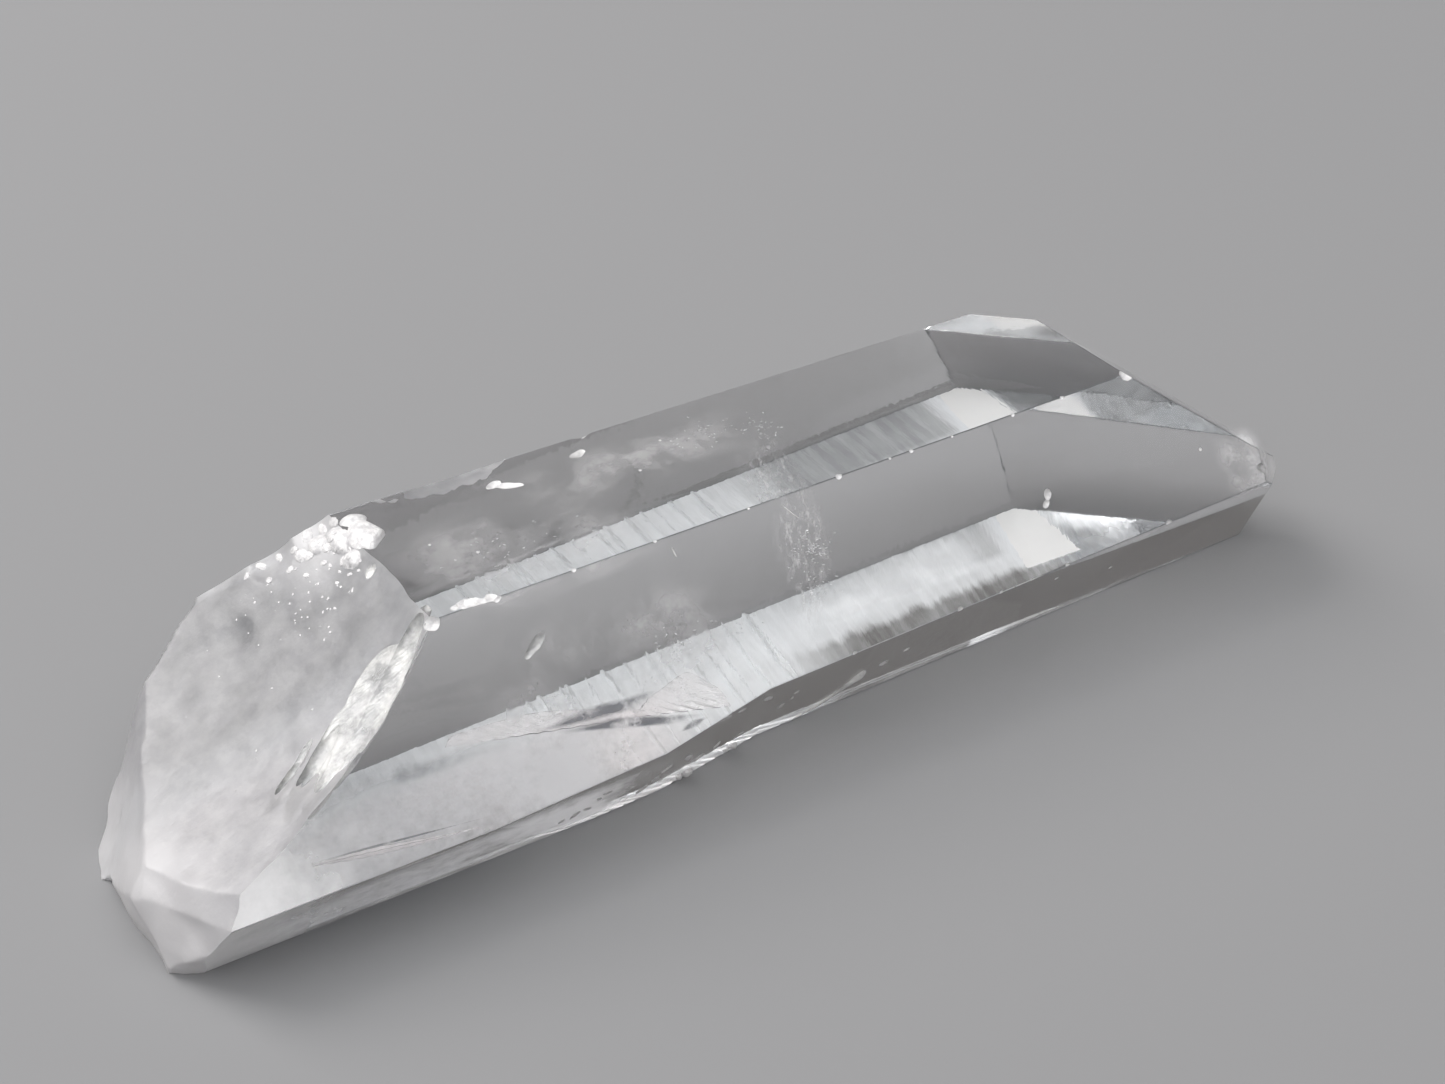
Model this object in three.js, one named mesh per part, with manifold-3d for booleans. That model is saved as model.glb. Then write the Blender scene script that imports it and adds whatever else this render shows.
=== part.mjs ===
// Lemurian quartz crystal: one clear, elongated crystal lying on a prism face,
// pointed at one end and broken off its matrix at the other.
//
// Frame: millimetres, +Z up. +X runs along the crystal's c axis to the point,
// +Y goes to the back. The origin is the centre of the footprint's bounding box,
// on the plane that the crystal rests on.

import * as THREE from "three";
import { toCreasedNormals } from "three/addons/utils/BufferGeometryUtils.js";
import Module from "manifold-3d";

const wasm = await Module();
wasm.setup();
const { Manifold, Mesh: SolidMesh } = wasm;

// ---- Driving dimensions ----------------------------------------------------

const REST_TO_AXIS = 7.4; // height of the c axis over the resting face
const BLOCK = { length: 120, width: 60, height: 50 }; // rough block before any face is cut

// Six prism faces. `around` is the direction of the face normal about the c axis
// (0 = back, 90 = up), `out` its distance from the axis at mid length, and `taper`
// how far the normal leans toward the point, in degrees.
const PRISM = {
  top: { around: 90, out: 7.45, taper: -0.1 },
  frontUpper: { around: 150, out: 7.76, taper: -0.9 },
  frontLower: { around: -150, out: 8.54, taper: 0.3 },
  rest: { around: -90, out: REST_TO_AXIS, taper: 0 },
  backLower: { around: -30, out: 8.9, taper: -1.3 },
  backUpper: { around: 30, out: 8.82, taper: 2.1 },
};

// Faces of the point. `lean` is the angle between the normal and the c axis
// (51.8 for a perfect rhombohedron); `at` is one point that the face goes through.
const POINT = {
  mainOverTop: { around: 86.5, lean: 51.7, at: [24.5, -5.1, 14.89] },
  mainOverBackLower: { around: -30, lean: 53.2, at: [21.58, 8.2, 2.81] },
  mainOverFrontLower: { around: -160, lean: 51.8, at: [33.6, -8.0, 4.5] },
  minorOverFrontUpper: { around: 150, lean: 51.8, at: [32.3, -9.3, 7.6] },
  minorOverBackUpper: { around: 30, lean: 51.8, at: [22.45, 3.7, 14.87] },
  wornTip: { around: 155, lean: 20, at: [35.0, -6.7, 6.0] },
};

// Growth layers that stand proud of the front lower face toward the broken end.
// `proud` is the height over that face, `taper` as above, and each layer stops at
// an oblique step from `endTop` (upper edge) to `endRest` (on the resting plane).
const LAYERS = [
  { proud: 0.96, taper: -1.7, endTop: -13, endRest: -9.6 },
  { proud: 0.86, taper: 0.1, endTop: -7.4, endRest: -2.0 },
  { proud: 0.64, taper: 0.3, endTop: -5.9, endRest: 1.9 },
  { proud: 0.22, taper: 0.3, endTop: -4.2, endRest: 6.2 },
];

// The break: one broad shallow conchoidal hollow, steep flat breaks at its foot and
// back corner, and smaller shells flaked off its rim. Each shell is part of a sphere.
const BREAK_HOLLOW = { centre: [-49.4, -1, 46.6], radius: 43.9, squash: [1, 1.3, 1] };
const BREAK_FLATS = [
  { normal: [-0.99, -0.02, -0.14], at: [-35.6, -2, 0] },
  { normal: [-0.86, 0.3, 0.41], at: [-34.8, 5.4, 0] },
  { normal: [-0.5, -0.7, -0.5], at: [-34.3, -7.4, 1.6] },
  { normal: [-0.5, 0.86, 0.1], at: [-28.1, 8.9, 8.9] },
];
const RIM_SHELLS = [
  { centre: [-21.5, 6.3, 15.7], radius: 2.2 },
  { centre: [-23.9, 7.4, 14.3], radius: 2.6 },
  { centre: [-22.9, -0.2, 17.9], radius: 5.0 },
  { centre: [-26.5, -4.0, 17.0], radius: 7.0 },
  { centre: [-29.1, -4.3, 12.5], radius: 4.5 },
  { centre: [-27.4, 5.4, 12.2], radius: 3.0 },
  { centre: [-33.7, 4.1, 11.7], radius: 6.0 },
  { centre: [-35.6, 4.6, 3.3], radius: 1.9 },
  { centre: [-36.6, 1.6, -0.4], radius: 1.5 },
  { centre: [-37.6, -3.2, -0.6], radius: 2.2 },
  { centre: [-36.7, -9.2, 4.4], radius: 1.9 },
];

// Small flakes lost from the long edges and the upper faces.
const EDGE_CHIPS = [
  { centre: [-4.6, 6.6, 15.4], radius: 1.0 },
  { centre: [-5.7, 4.6, 15.55], radius: 0.85 },
  { centre: [-10.4, 4.4, 16.4], radius: 1.8 },
  { centre: [-16.4, -4.7, 15.9], radius: 1.5 },
  { centre: [-19.2, -4.4, 15.5], radius: 1.0 },
  { centre: [-14.2, -6.74, 12.5], radius: 1.0 },
  { centre: [24.6, -5.3, 15.3], radius: 0.8 },
];

// ---- Helpers ---------------------------------------------------------------

// Closed manifold solid from a three.js geometry: equal positions share a vertex.
function solidOf(geometry) {
  const position = geometry.getAttribute("position");
  const index = geometry.getIndex();
  const seen = new Map();
  const vertices = [];
  const remap = [];
  for (let i = 0; i < position.count; i += 1) {
    const p = [position.getX(i), position.getY(i), position.getZ(i)];
    const key = p.map((v) => Math.round(v * 1e5)).join(",");
    if (!seen.has(key)) {
      seen.set(key, vertices.length / 3);
      vertices.push(...p);
    }
    remap.push(seen.get(key));
  }
  const triangles = [];
  for (let i = 0; i < index.count; i += 3) {
    const a = remap[index.getX(i)];
    const b = remap[index.getX(i + 1)];
    const c = remap[index.getX(i + 2)];
    if (a !== b && b !== c && c !== a) triangles.push(a, b, c);
  }
  const mesh = new SolidMesh({
    numProp: 3,
    vertProperties: new Float32Array(vertices),
    triVerts: new Uint32Array(triangles),
  });
  return new Manifold(mesh);
}

// Unit normal from its direction about the c axis and its lean from that axis.
function faceNormal(around, lean) {
  const a = THREE.MathUtils.degToRad(around);
  const l = THREE.MathUtils.degToRad(lean);
  return new THREE.Vector3(
    Math.cos(l),
    Math.sin(l) * Math.cos(a),
    Math.sin(l) * Math.sin(a),
  );
}

// Everything on the outer side of a face, as one big block to take away.
function outside(normal, point) {
  const reach = 150;
  const block = new THREE.BoxGeometry(reach * 2, reach * 2, reach);
  block.translate(0, 0, reach / 2);
  const turn = new THREE.Quaternion().setFromUnitVectors(new THREE.Vector3(0, 0, 1), normal);
  block.applyQuaternion(turn);
  block.translate(point.x, point.y, point.z);
  return solidOf(block);
}

function cutPrismFace(solid, { around, out, taper }) {
  const normal = faceNormal(around, 90 - taper);
  const across = faceNormal(around, 90);
  const point = across.multiplyScalar(out).add(new THREE.Vector3(0, 0, REST_TO_AXIS));
  return solid.subtract(outside(normal, point));
}

function cutPointFace(solid, { around, lean, at }) {
  return solid.subtract(outside(faceNormal(around, lean), new THREE.Vector3(...at)));
}

function sphere(radius, centre, squash = [1, 1, 1], segments = 20) {
  const ball = new THREE.SphereGeometry(radius, segments * 2, segments);
  ball.rotateX(Math.PI / 2);
  ball.scale(...squash);
  ball.translate(...centre);
  return solidOf(ball);
}

// ---- The crystal -----------------------------------------------------------

function roughBlock() {
  const block = new THREE.BoxGeometry(BLOCK.length, BLOCK.width, BLOCK.height);
  return solidOf(block);
}

// Prism and point, with the front lower face where `frontLower` says.
function facetedBody(frontLower) {
  let body = roughBlock();
  for (const face of Object.values({ ...PRISM, frontLower })) {
    body = cutPrismFace(body, face);
  }
  for (const face of Object.values(POINT)) {
    body = cutPointFace(body, face);
  }
  return body;
}

// A growth layer ends at a steep plane through its two end points, facing the point.
function growthLayer({ proud, taper, endTop, endRest }) {
  const face = { ...PRISM.frontLower, out: PRISM.frontLower.out + proud, taper };
  const upper = new THREE.Vector3(endTop, -9.8, 6.5);
  const lower = new THREE.Vector3(endRest, -6.1, 0);
  const along = lower.clone().sub(upper).normalize();
  const outward = faceNormal(PRISM.frontLower.around, 90);
  const stepNormal = new THREE.Vector3().crossVectors(outward, along).normalize();
  if (stepNormal.x < 0) stepNormal.negate();
  stepNormal.addScaledVector(outward, 0.35).normalize();
  return facetedBody(face).subtract(outside(stepNormal, upper));
}

function breakOff(crystal) {
  const { centre, radius, squash } = BREAK_HOLLOW;
  let broken = crystal.subtract(sphere(radius, centre, squash, 56));
  for (const { normal, at } of BREAK_FLATS) {
    const n = new THREE.Vector3(...normal).normalize();
    broken = broken.subtract(outside(n, new THREE.Vector3(...at)));
  }
  for (const shell of RIM_SHELLS) {
    broken = broken.subtract(sphere(shell.radius, shell.centre));
  }
  return broken;
}

let crystal = facetedBody(PRISM.frontLower);
for (const layer of LAYERS) {
  crystal = crystal.add(growthLayer(layer));
}
crystal = breakOff(crystal);
for (const chip of EDGE_CHIPS) {
  crystal = crystal.subtract(sphere(chip.radius, chip.centre, [1, 1, 1], 8));
}

// ---- Mesh ------------------------------------------------------------------

function meshOf(solid) {
  const { numProp, vertProperties, triVerts } = solid.getMesh();
  const position = [];
  for (let i = 0; i < vertProperties.length; i += numProp) {
    position.push(vertProperties[i], vertProperties[i + 1], vertProperties[i + 2]);
  }
  const geometry = new THREE.BufferGeometry();
  geometry.setAttribute("position", new THREE.Float32BufferAttribute(position, 3));
  geometry.setIndex(Array.from(triVerts));
  return geometry;
}

const crystalGeometry = toCreasedNormals(meshOf(crystal), THREE.MathUtils.degToRad(20));
crystalGeometry.computeBoundingBox();
const { min, max } = crystalGeometry.boundingBox;
crystalGeometry.translate(-(min.x + max.x) / 2, -(min.y + max.y) / 2, -min.z);

const quartz = new THREE.MeshStandardMaterial({
  name: "quartz",
  color: 0xe9edf0,
  roughness: 0.08,
  metalness: 0,
  transparent: true,
  opacity: 0.35,
});

const crystalMesh = new THREE.Mesh(crystalGeometry, quartz);
crystalMesh.name = "crystal";

const lemurianQuartz = new THREE.Group();
lemurianQuartz.name = "lemurian_quartz_crystal";
lemurianQuartz.add(crystalMesh);

export default lemurianQuartz;
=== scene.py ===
import collections
import math
import random

import bpy
from mathutils import Matrix, Vector


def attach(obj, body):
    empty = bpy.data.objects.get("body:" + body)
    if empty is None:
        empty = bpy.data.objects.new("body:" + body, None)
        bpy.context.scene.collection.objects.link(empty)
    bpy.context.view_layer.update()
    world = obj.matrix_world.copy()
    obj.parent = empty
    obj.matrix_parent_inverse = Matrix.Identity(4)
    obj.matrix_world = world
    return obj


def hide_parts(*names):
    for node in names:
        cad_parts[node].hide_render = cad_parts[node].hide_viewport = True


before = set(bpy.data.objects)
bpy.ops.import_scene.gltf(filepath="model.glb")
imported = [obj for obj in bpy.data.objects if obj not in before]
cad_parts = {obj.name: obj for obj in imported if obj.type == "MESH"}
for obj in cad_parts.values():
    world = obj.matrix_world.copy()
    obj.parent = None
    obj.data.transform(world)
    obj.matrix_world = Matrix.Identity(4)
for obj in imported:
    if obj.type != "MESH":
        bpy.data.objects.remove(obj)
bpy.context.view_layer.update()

# ---- The crystal's faces -----------------------------------------------------------
# Clear quartz, grown as one piece: six prism faces round the c axis and a slanted point.
# A rough block is cut down one plane at a time, in millimetres about the crystal's axis,
# and is brought to metres and to its place once it is whole.

SEAT = Vector((-0.036, -0.293, 0.0))  # mm, from the axis frame to the middle of the footprint
AXIS_HEIGHT = 7.4
ROUGH_BLOCK = (120.0, 60.0, 50.0)

PRISM_FACES = {  # turn about the axis in degrees (0 back, 90 up), distance, lean toward the point
    "top": (90, 7.45, -0.1),
    "front upper": (150, 7.76, -0.9),
    "rest": (-90, 7.4, 0.0),
    "back lower": (-30, 8.9, -1.3),
    "back upper": (30, 8.82, 2.1),
}
POINT_FACES = [  # turn about the axis, angle of the normal from the axis, a point on the face
    (86.5, 51.7, (24.5, -5.1, 14.89)),
    (-30, 53.2, (21.58, 8.2, 2.81)),
    (-160, 51.8, (33.6, -8.0, 4.5)),
    (150, 51.8, (32.3, -9.3, 7.6)),
    (30, 51.8, (22.45, 3.7, 14.87)),
    (155, 20.0, (35.0, -6.7, 6.0)),
]
FRONT_LOWER, FRONT_LOWER_OUT, FRONT_LOWER_LEAN = -150, 8.54, 0.3
OUTER_LAYERS = [(-147.3, 9.88, -0.9), (-150, 9.33, 1.2)]  # proud of that face toward the break
WORN_EDGE = 0.04  # mm, the dulled width of the long edges
CUT_TRIES = 6
HAIR = (0.003, 0.002, 0.001)  # mm, how far a tool moves when its cut fails


def pick(piece):
    """Only this piece is selected, and it is the active one."""
    bpy.ops.object.select_all(action="DESELECT")
    piece.select_set(True)
    bpy.context.view_layer.objects.active = piece


def open_mesh(piece):
    """Edit mode on this piece, with all of it selected."""
    pick(piece)
    bpy.ops.object.mode_set(mode="EDIT")
    bpy.ops.mesh.select_all(action="SELECT")


def close_mesh():
    bpy.ops.object.mode_set(mode="OBJECT")


def set_in_place(piece):
    pick(piece)
    bpy.ops.object.transform_apply(location=True, rotation=True, scale=True)
    return piece


def face_normal(turn, lean):
    """Normal of a crystal face from its turn about the axis and its angle from the axis."""
    turn, lean = math.radians(turn), math.radians(lean)
    return Vector((math.cos(lean), math.sin(lean) * math.cos(turn), math.sin(lean) * math.sin(turn)))


def prism_plane(turn, out, lean):
    """A point on a prism face, and its normal."""
    point = face_normal(turn, 90) * out + Vector((0, 0, AXIS_HEIGHT))
    return point, face_normal(turn, 90 - lean)


def rough_block(name):
    bpy.ops.mesh.primitive_cube_add(size=1, location=(0, 0, 0), scale=ROUGH_BLOCK)
    block = bpy.context.object
    block.name = name
    return set_in_place(block)


def cut_face(piece, point, normal):
    """Cuts away all that lies outside the plane, and closes the cut."""
    open_mesh(piece)
    bpy.ops.mesh.bisect(
        plane_co=point, plane_no=normal, use_fill=True, clear_outer=True, threshold=1e-5
    )
    close_mesh()


def fit_modifier(piece, kind, **settings):
    """Adds a modifier with these settings and applies it."""
    pick(piece)
    modifier = piece.modifiers.new(kind.lower(), kind)
    for key, value in settings.items():
        setattr(modifier, key, value)
    bpy.ops.object.modifier_apply(modifier=modifier.name)


def is_closed(piece):
    """Every edge is shared by just two faces."""
    edge_of = [0] * len(piece.data.loops)
    piece.data.loops.foreach_get("edge_index", edge_of)
    uses = collections.Counter(edge_of)
    return len(uses) == len(piece.data.edges) and set(uses.values()) == {2}


def carve(piece, tool, operation="DIFFERENCE"):
    """Takes the tool's shape out of the piece, or joins it on, and throws the tool away.

    If the cut leaves the piece open, or loses it, the tool is moved by a hair and the cut is
    made again.
    """
    for _ in range(CUT_TRIES):
        before = piece.data.copy()
        fit_modifier(
            piece, "BOOLEAN", object=tool, operation=operation, solver="EXACT",
            material_mode="TRANSFER",
        )
        if is_closed(piece) and len(piece.data.polygons) > 0.5 * len(before.polygons):
            break
        piece.data = before
        tool.data.transform(Matrix.Translation(HAIR))
    bpy.data.objects.remove(tool, do_unlink=True)


crystal = rough_block("crystal_body")
for turn, out, lean in PRISM_FACES.values():
    cut_face(crystal, *prism_plane(turn, out, lean))
for turn, out, lean in OUTER_LAYERS:
    cut_face(crystal, *prism_plane(turn, out, lean))
for turn, lean, at in POINT_FACES:
    cut_face(crystal, Vector(at), face_normal(turn, lean))

# ---- Growth layers and worn edges ---------------------------------------------------
# Toward the broken end the front lower face carries a few more layers of growth, which run
# out in one long, low slope. All the edges between faces are dulled a little by wear.

SLOPE = ((-2.2, 6.5, 0.0), (-8.6, 6.5, 0.86), (-0.6, 0.0, 0.0))  # along, height, how proud


def on_front_lower(along, height, proud):
    """A point over the front lower face, at this distance from the face."""
    at, outward = prism_plane(FRONT_LOWER, FRONT_LOWER_OUT, FRONT_LOWER_LEAN)
    on_face = Vector((along, 0.0, height))
    on_face.y = (outward.dot(at) - outward.dot(on_face)) / outward.y
    return on_face + outward * proud


low, high, near_break = (on_front_lower(*mark) for mark in SLOPE)
slope = (high - low).cross(near_break - low).normalized()
wedge = rough_block("growth_wedge")
at, outward = prism_plane(FRONT_LOWER, FRONT_LOWER_OUT, FRONT_LOWER_LEAN)
cut_face(wedge, at, -outward)
cut_face(wedge, low, -slope if slope.dot(outward) > 0 else slope)
carve(crystal, wedge)
worn_quartz = bpy.data.materials.new("worn_quartz")
clear_quartz = bpy.data.materials.new("clear_quartz")
crystal.data.materials.clear()
crystal.data.materials.append(clear_quartz)
crystal.data.materials.append(worn_quartz)
fit_modifier(
    crystal, "BEVEL", width=WORN_EDGE, segments=1, limit_method="ANGLE",
    angle_limit=math.radians(20), material=1,
)

# ---- Striations of the resting face ----------------------------------------------
# Fine cross grooves of unequal depth, as growth left them, square to the long axis.
# They are thin upright blades, cut out together.

GROOVES_FROM, GROOVES_TO = -13.0, 3.5
GROOVE_WIDTHS, GROOVE_DEPTHS = (0.12, 0.4), (0.004, 0.01)
GROOVE_SKEW = 1.2  # degrees at most from square to the axis
GROOVE_GAPS = (0.35, 1.5)
groove_dice = random.Random(41)


def groove_blades():
    """One tool of thin square bars, turned on edge, that lie across the resting face."""
    bars = []
    along = GROOVES_FROM
    while along < GROOVES_TO:
        bpy.ops.mesh.primitive_cube_add(size=1)
        bar = bpy.context.object
        width, depth = groove_dice.uniform(*GROOVE_WIDTHS), groove_dice.uniform(*GROOVE_DEPTHS)
        skew = Matrix.Rotation(math.radians(groove_dice.uniform(-GROOVE_SKEW, GROOVE_SKEW)), 4, "Z")
        bar.matrix_world = (
            Matrix.Translation((along, 0, 0)) @ skew @ Matrix.Diagonal((width, 30, depth, 1))
            @ Matrix.Rotation(math.radians(45), 4, "Y")
        )
        bars.append(set_in_place(bar))
        along += groove_dice.uniform(*GROOVE_GAPS)
    pick(bars[0])
    for bar in bars:
        bar.select_set(True)
    bpy.ops.object.join()
    tool = bpy.context.object
    tool.data.materials.append(clear_quartz)
    return tool


carve(crystal, groove_blades())


# ---- The break ------------------------------------------------------------------
# Where the crystal came off its matrix: one broad conchoidal hollow with faint rings
# about the blow, and a steep, ragged foot. The bulk is sawn off flat first. Each face of
# the break is then the print of a fine sheet, roughened and thickened to a block.

BLOW = Vector((-18.6, 4.6, 14.6))  # where the blow landed, at the top of the break
RINGS_SPREAD = 7.5
SAWN_OFF = [  # point and normal of the flat cuts that take the bulk away
    ((-38.6, 0, 0), (-1, 0, 0)),
    ((-22.6, 0, 15.2), (-0.52, 0, 0.854)),
]
HOLLOW_CENTRE = Vector((-49.4, -1.0, 46.6))
HOLLOW_RADIUS = 43.9
HOLLOW_WIDER = 1.3  # the hollow is flatter across the crystal than along it
HOLLOW_SHEET = (33, 25, 1)
HOLLOW_FACES = math.radians(30)  # the hollow's middle lies this far off straight down
FOOT_FACES = [  # normal, point, width of the sheet
    ((-0.99, -0.02, -0.14), (-35.6, -2.0, 0.0), 26),
    ((-0.86, 0.3, 0.41), (-34.8, 5.4, 0.0), 24),
    ((-0.5, -0.7, -0.5), (-34.3, -7.4, 1.6), 14),
    ((-0.5, 0.86, 0.1), (-28.1, 8.9, 8.9), 16),
    ((-0.86, -0.05, 0.5), (-35.7, -2.0, 4.3), 24),
    ((-0.8, -0.3, 0.14), (-34.4, -7.9, 3.1), 12),
    ((-0.75, -0.2, 0.55), (-34.1, -7.3, 5.0), 12),
]

frosted_quartz = bpy.data.materials.new("frosted_quartz")
clean_quartz = bpy.data.materials.new("clean_quartz")
bruised_quartz = bpy.data.materials.new("bruised_quartz")


def relief(name, kind, **settings):
    texture = bpy.data.textures.new(name, kind)
    for key, value in settings.items():
        setattr(texture, key, value)
    return texture


swell = relief("swell", "CLOUDS", noise_scale=2.6, noise_depth=1)
grain = relief("grain", "CLOUDS", noise_scale=0.8, noise_depth=1)
flakes = relief("flakes", "VORONOI", noise_scale=1.5, distance_metric="DISTANCE")
rings = relief("rings", "WOOD", wood_type="RINGNOISE", noise_scale=0.25, turbulence=4.0)
bpy.ops.object.empty_add(location=BLOW)
blow_mark = bpy.context.object
blow_mark.scale = (RINGS_SPREAD, RINGS_SPREAD, RINGS_SPREAD)
bpy.context.view_layer.update()


def roughen(sheet, swell_by, grain_by, flakes_by=0.0, rings_by=0.0):
    """Waves, grain, shell-like flakes and rings about the blow, each to its depth in mm."""
    for texture, depth in ((swell, swell_by), (grain, grain_by), (flakes, flakes_by)):
        if depth:
            fit_modifier(sheet, "DISPLACE", texture=texture, strength=depth, texture_coords="LOCAL")
    if rings_by:
        fit_modifier(
            sheet, "DISPLACE", texture=rings, strength=rings_by,
            texture_coords="OBJECT", texture_coords_object=blow_mark,
        )


def thicken(sheet, outward):
    """Extrudes the sheet into a closed block on its outer side."""
    open_mesh(sheet)
    bpy.ops.mesh.extrude_region_move(TRANSFORM_OT_translate={"value": outward})
    bpy.ops.mesh.select_all(action="SELECT")
    bpy.ops.mesh.normals_make_consistent(inside=False)
    close_mesh()
    sheet.data.materials.clear()
    sheet.data.materials.append(frosted_quartz)
    return sheet


for at, normal in SAWN_OFF:
    cut_face(crystal, Vector(at), Vector(normal))
down_slope = Vector((math.sin(HOLLOW_FACES), 0, -math.cos(HOLLOW_FACES)))
bpy.ops.mesh.primitive_grid_add(
    x_subdivisions=240, y_subdivisions=180, size=1, location=down_slope * HOLLOW_RADIUS,
    rotation=(0, -HOLLOW_FACES, 0),
)
hollow = bpy.context.object
hollow.name = "hollow"
hollow.scale = HOLLOW_SHEET
set_in_place(hollow)
fit_modifier(hollow, "CAST", cast_type="SPHERE", factor=1.0, size=HOLLOW_RADIUS, use_radius_as_size=False)
open_mesh(hollow)
bpy.ops.transform.resize(value=(1, HOLLOW_WIDER, 1), center_override=(0, 0, 0))
bpy.ops.transform.translate(value=HOLLOW_CENTRE)
close_mesh()
roughen(hollow, 0.22, 0.035, 0.04, 0.02)
carve(crystal, thicken(hollow, (-14, 0, 26)))

for normal, at, width in FOOT_FACES:
    normal = Vector(normal).normalized()
    bpy.ops.mesh.primitive_grid_add(
        x_subdivisions=90, y_subdivisions=90, size=width, location=at,
        rotation=normal.to_track_quat("Z", "Y").to_euler(),
    )
    foot = set_in_place(bpy.context.object)
    roughen(foot, 0.5, 0.06, 0.08)
    carve(crystal, thicken(foot, normal * 12))

# ---- Shells flaked off the break ---------------------------------------------------
# Shallow round scoops along the rim and on the break, frosted like it. Where the break
# meets the front face, long flutes side by side left clean, bright streaks.

SHELLS = [  # centre, radius
    ((-21.5, 6.3, 15.7), 2.2),
    ((-23.9, 7.4, 14.3), 2.6),
    ((-27.4, 5.4, 12.2), 3.0),
    ((-35.6, 4.6, 3.3), 1.9),
    ((-36.6, 1.6, -0.4), 1.5),
]
FLUTES = [  # place on the break, then half the length, width and depth
    ((-24.0, -4.9, 10.8), (4.6, 1.5, 0.3)),
    ((-22.6, -5.1, 11.8), (5.2, 0.9, 0.5)),
    ((-21.2, -4.3, 12.9), (3.4, 0.5, 0.3)),
    ((-25.4, -5.9, 9.8), (3.4, 0.6, 0.4)),
    ((-26.3, -4.9, 9.1), (2.8, 0.42, 0.4)),
    ((-27.0, -5.6, 8.5), (2.2, 0.4, 0.4)),
    ((-28.0, -4.6, 8.0), (1.6, 0.32, 0.3)),
    ((-26.9, -4.1, 9.0), (1.6, 0.28, 0.26)),
    ((-19.75, 1.55, 14.45), (0.6, 0.4, 0.3)),
]
FLUTE_ALONG = Vector((-0.75, -0.344, -0.565)).normalized()
FLUTE_OUT = Vector((-0.58, 0.0, 0.81)).normalized()
FLUTE_LIFT = 0.12


def scoop(centre, radius, ripple, finish, turned=None):
    """A round tool, or one stretched and turned by a matrix, with a rippled skin."""
    bpy.ops.mesh.primitive_ico_sphere_add(subdivisions=5, radius=radius)
    ball = bpy.context.object
    ball.matrix_world = Matrix.Translation(centre) @ (turned or Matrix.Identity(4))
    set_in_place(ball)
    roughen(ball, ripple, ripple * 0.3)
    ball.data.materials.append(finish)
    return ball


def laid_along(along, outward, half_sizes):
    """Turns and stretches a unit ball so that its length lies along a line on a face."""
    across = outward.cross(along).normalized()
    turn = Matrix((along, across, along.cross(across))).transposed().to_4x4()
    return turn @ Matrix.Diagonal((*half_sizes, 1))


for centre, radius in SHELLS:
    carve(crystal, scoop(centre, radius, radius * 0.05, frosted_quartz))
for place, half_sizes in FLUTES:
    turned = laid_along(FLUTE_ALONG, FLUTE_OUT, half_sizes)
    ripple = half_sizes[2] * 0.35
    carve(crystal, scoop(Vector(place) + FLUTE_OUT * FLUTE_LIFT, 1.0, ripple, clean_quartz, turned))


# ---- Chips and nicks --------------------------------------------------------------
# Small flakes lost from the long edges and the upper faces, a long shallow scar on the top's
# back edge, a worn tip, and fine nicks. Fresh chips are white with bruising.

TOP_NORMAL = Vector((0, 0, 1))
FRONT_NORMAL = face_normal(150, 90)
SCARS = [  # centre, the way it lies, normal of the face, half sizes, finish
    ((-12.9, 6.75, 15.02), (1, 0, 0), TOP_NORMAL, (4.3, 1.75, 0.34), frosted_quartz),
    ((-10.2, 3.95, 14.95), (1, -0.55, 0), TOP_NORMAL, (1.0, 0.34, 0.2), bruised_quartz),
    ((-10.9, 4.45, 14.93), (1, 0.3, 0), TOP_NORMAL, (0.6, 0.3, 0.16), bruised_quartz),
    ((-5.7, 4.6, 14.95), (1, 0.25, 0), TOP_NORMAL, (0.55, 0.32, 0.18), clean_quartz),
    ((-16.6, -4.25, 15.0), (1, -0.15, 0), TOP_NORMAL, (1.25, 0.62, 0.34), bruised_quartz),
    ((-15.3, -4.7, 14.95), (1, -0.4, 0), TOP_NORMAL, (0.75, 0.3, 0.3), bruised_quartz),
    ((-17.8, -4.1, 14.98), (1, 0.3, 0), TOP_NORMAL, (0.6, 0.34, 0.22), bruised_quartz),
    ((-19.2, -4.4, 14.8), (1, 0, 0), TOP_NORMAL, (0.5, 0.45, 0.45), bruised_quartz),
    ((-18.3, -4.7, 14.7), (1, 0, 0), TOP_NORMAL, (0.3, 0.25, 0.25), bruised_quartz),
    ((-14.35, -5.98, 12.25), (0.8, 0.25, 0.5), FRONT_NORMAL, (0.95, 0.26, 0.2), clean_quartz),
    ((17.5, -7.5, 10.65), (0.3, 0.4, 0.8), FRONT_NORMAL, (0.34, 0.24, 0.2), bruised_quartz),
    ((17.25, -7.7, 10.25), (0.8, 0.4, 0.3), FRONT_NORMAL, (0.26, 0.18, 0.16), bruised_quartz),
    ((-5.43, -5.0, 14.09), (0.1, -0.24, -0.4), FRONT_NORMAL, (0.3, 0.045, 0.05), bruised_quartz),
    ((1.6, -5.1, 14.2), (1.1, -0.75, -1.2), FRONT_NORMAL, (0.85, 0.035, 0.05), bruised_quartz),
    ((-9.45, -5.0, 14.05), (0.0, 0.45, 0.8), FRONT_NORMAL, (0.35, 0.05, 0.05), bruised_quartz),
    ((-9.9, -4.95, 14.15), (1, 0.2, 0.2), FRONT_NORMAL, (0.2, 0.1, 0.08), bruised_quartz),
    ((32.6, -9.25, 7.9), (0.75, 0.3, -0.55), FRONT_NORMAL, (0.9, 0.3, 0.16), clean_quartz),
    ((33.6, -8.75, 6.9), (0.3, 0.3, -1), Vector((0.62, -0.68, 0.2)), (0.8, 0.4, 0.22), clean_quartz),
]
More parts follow.
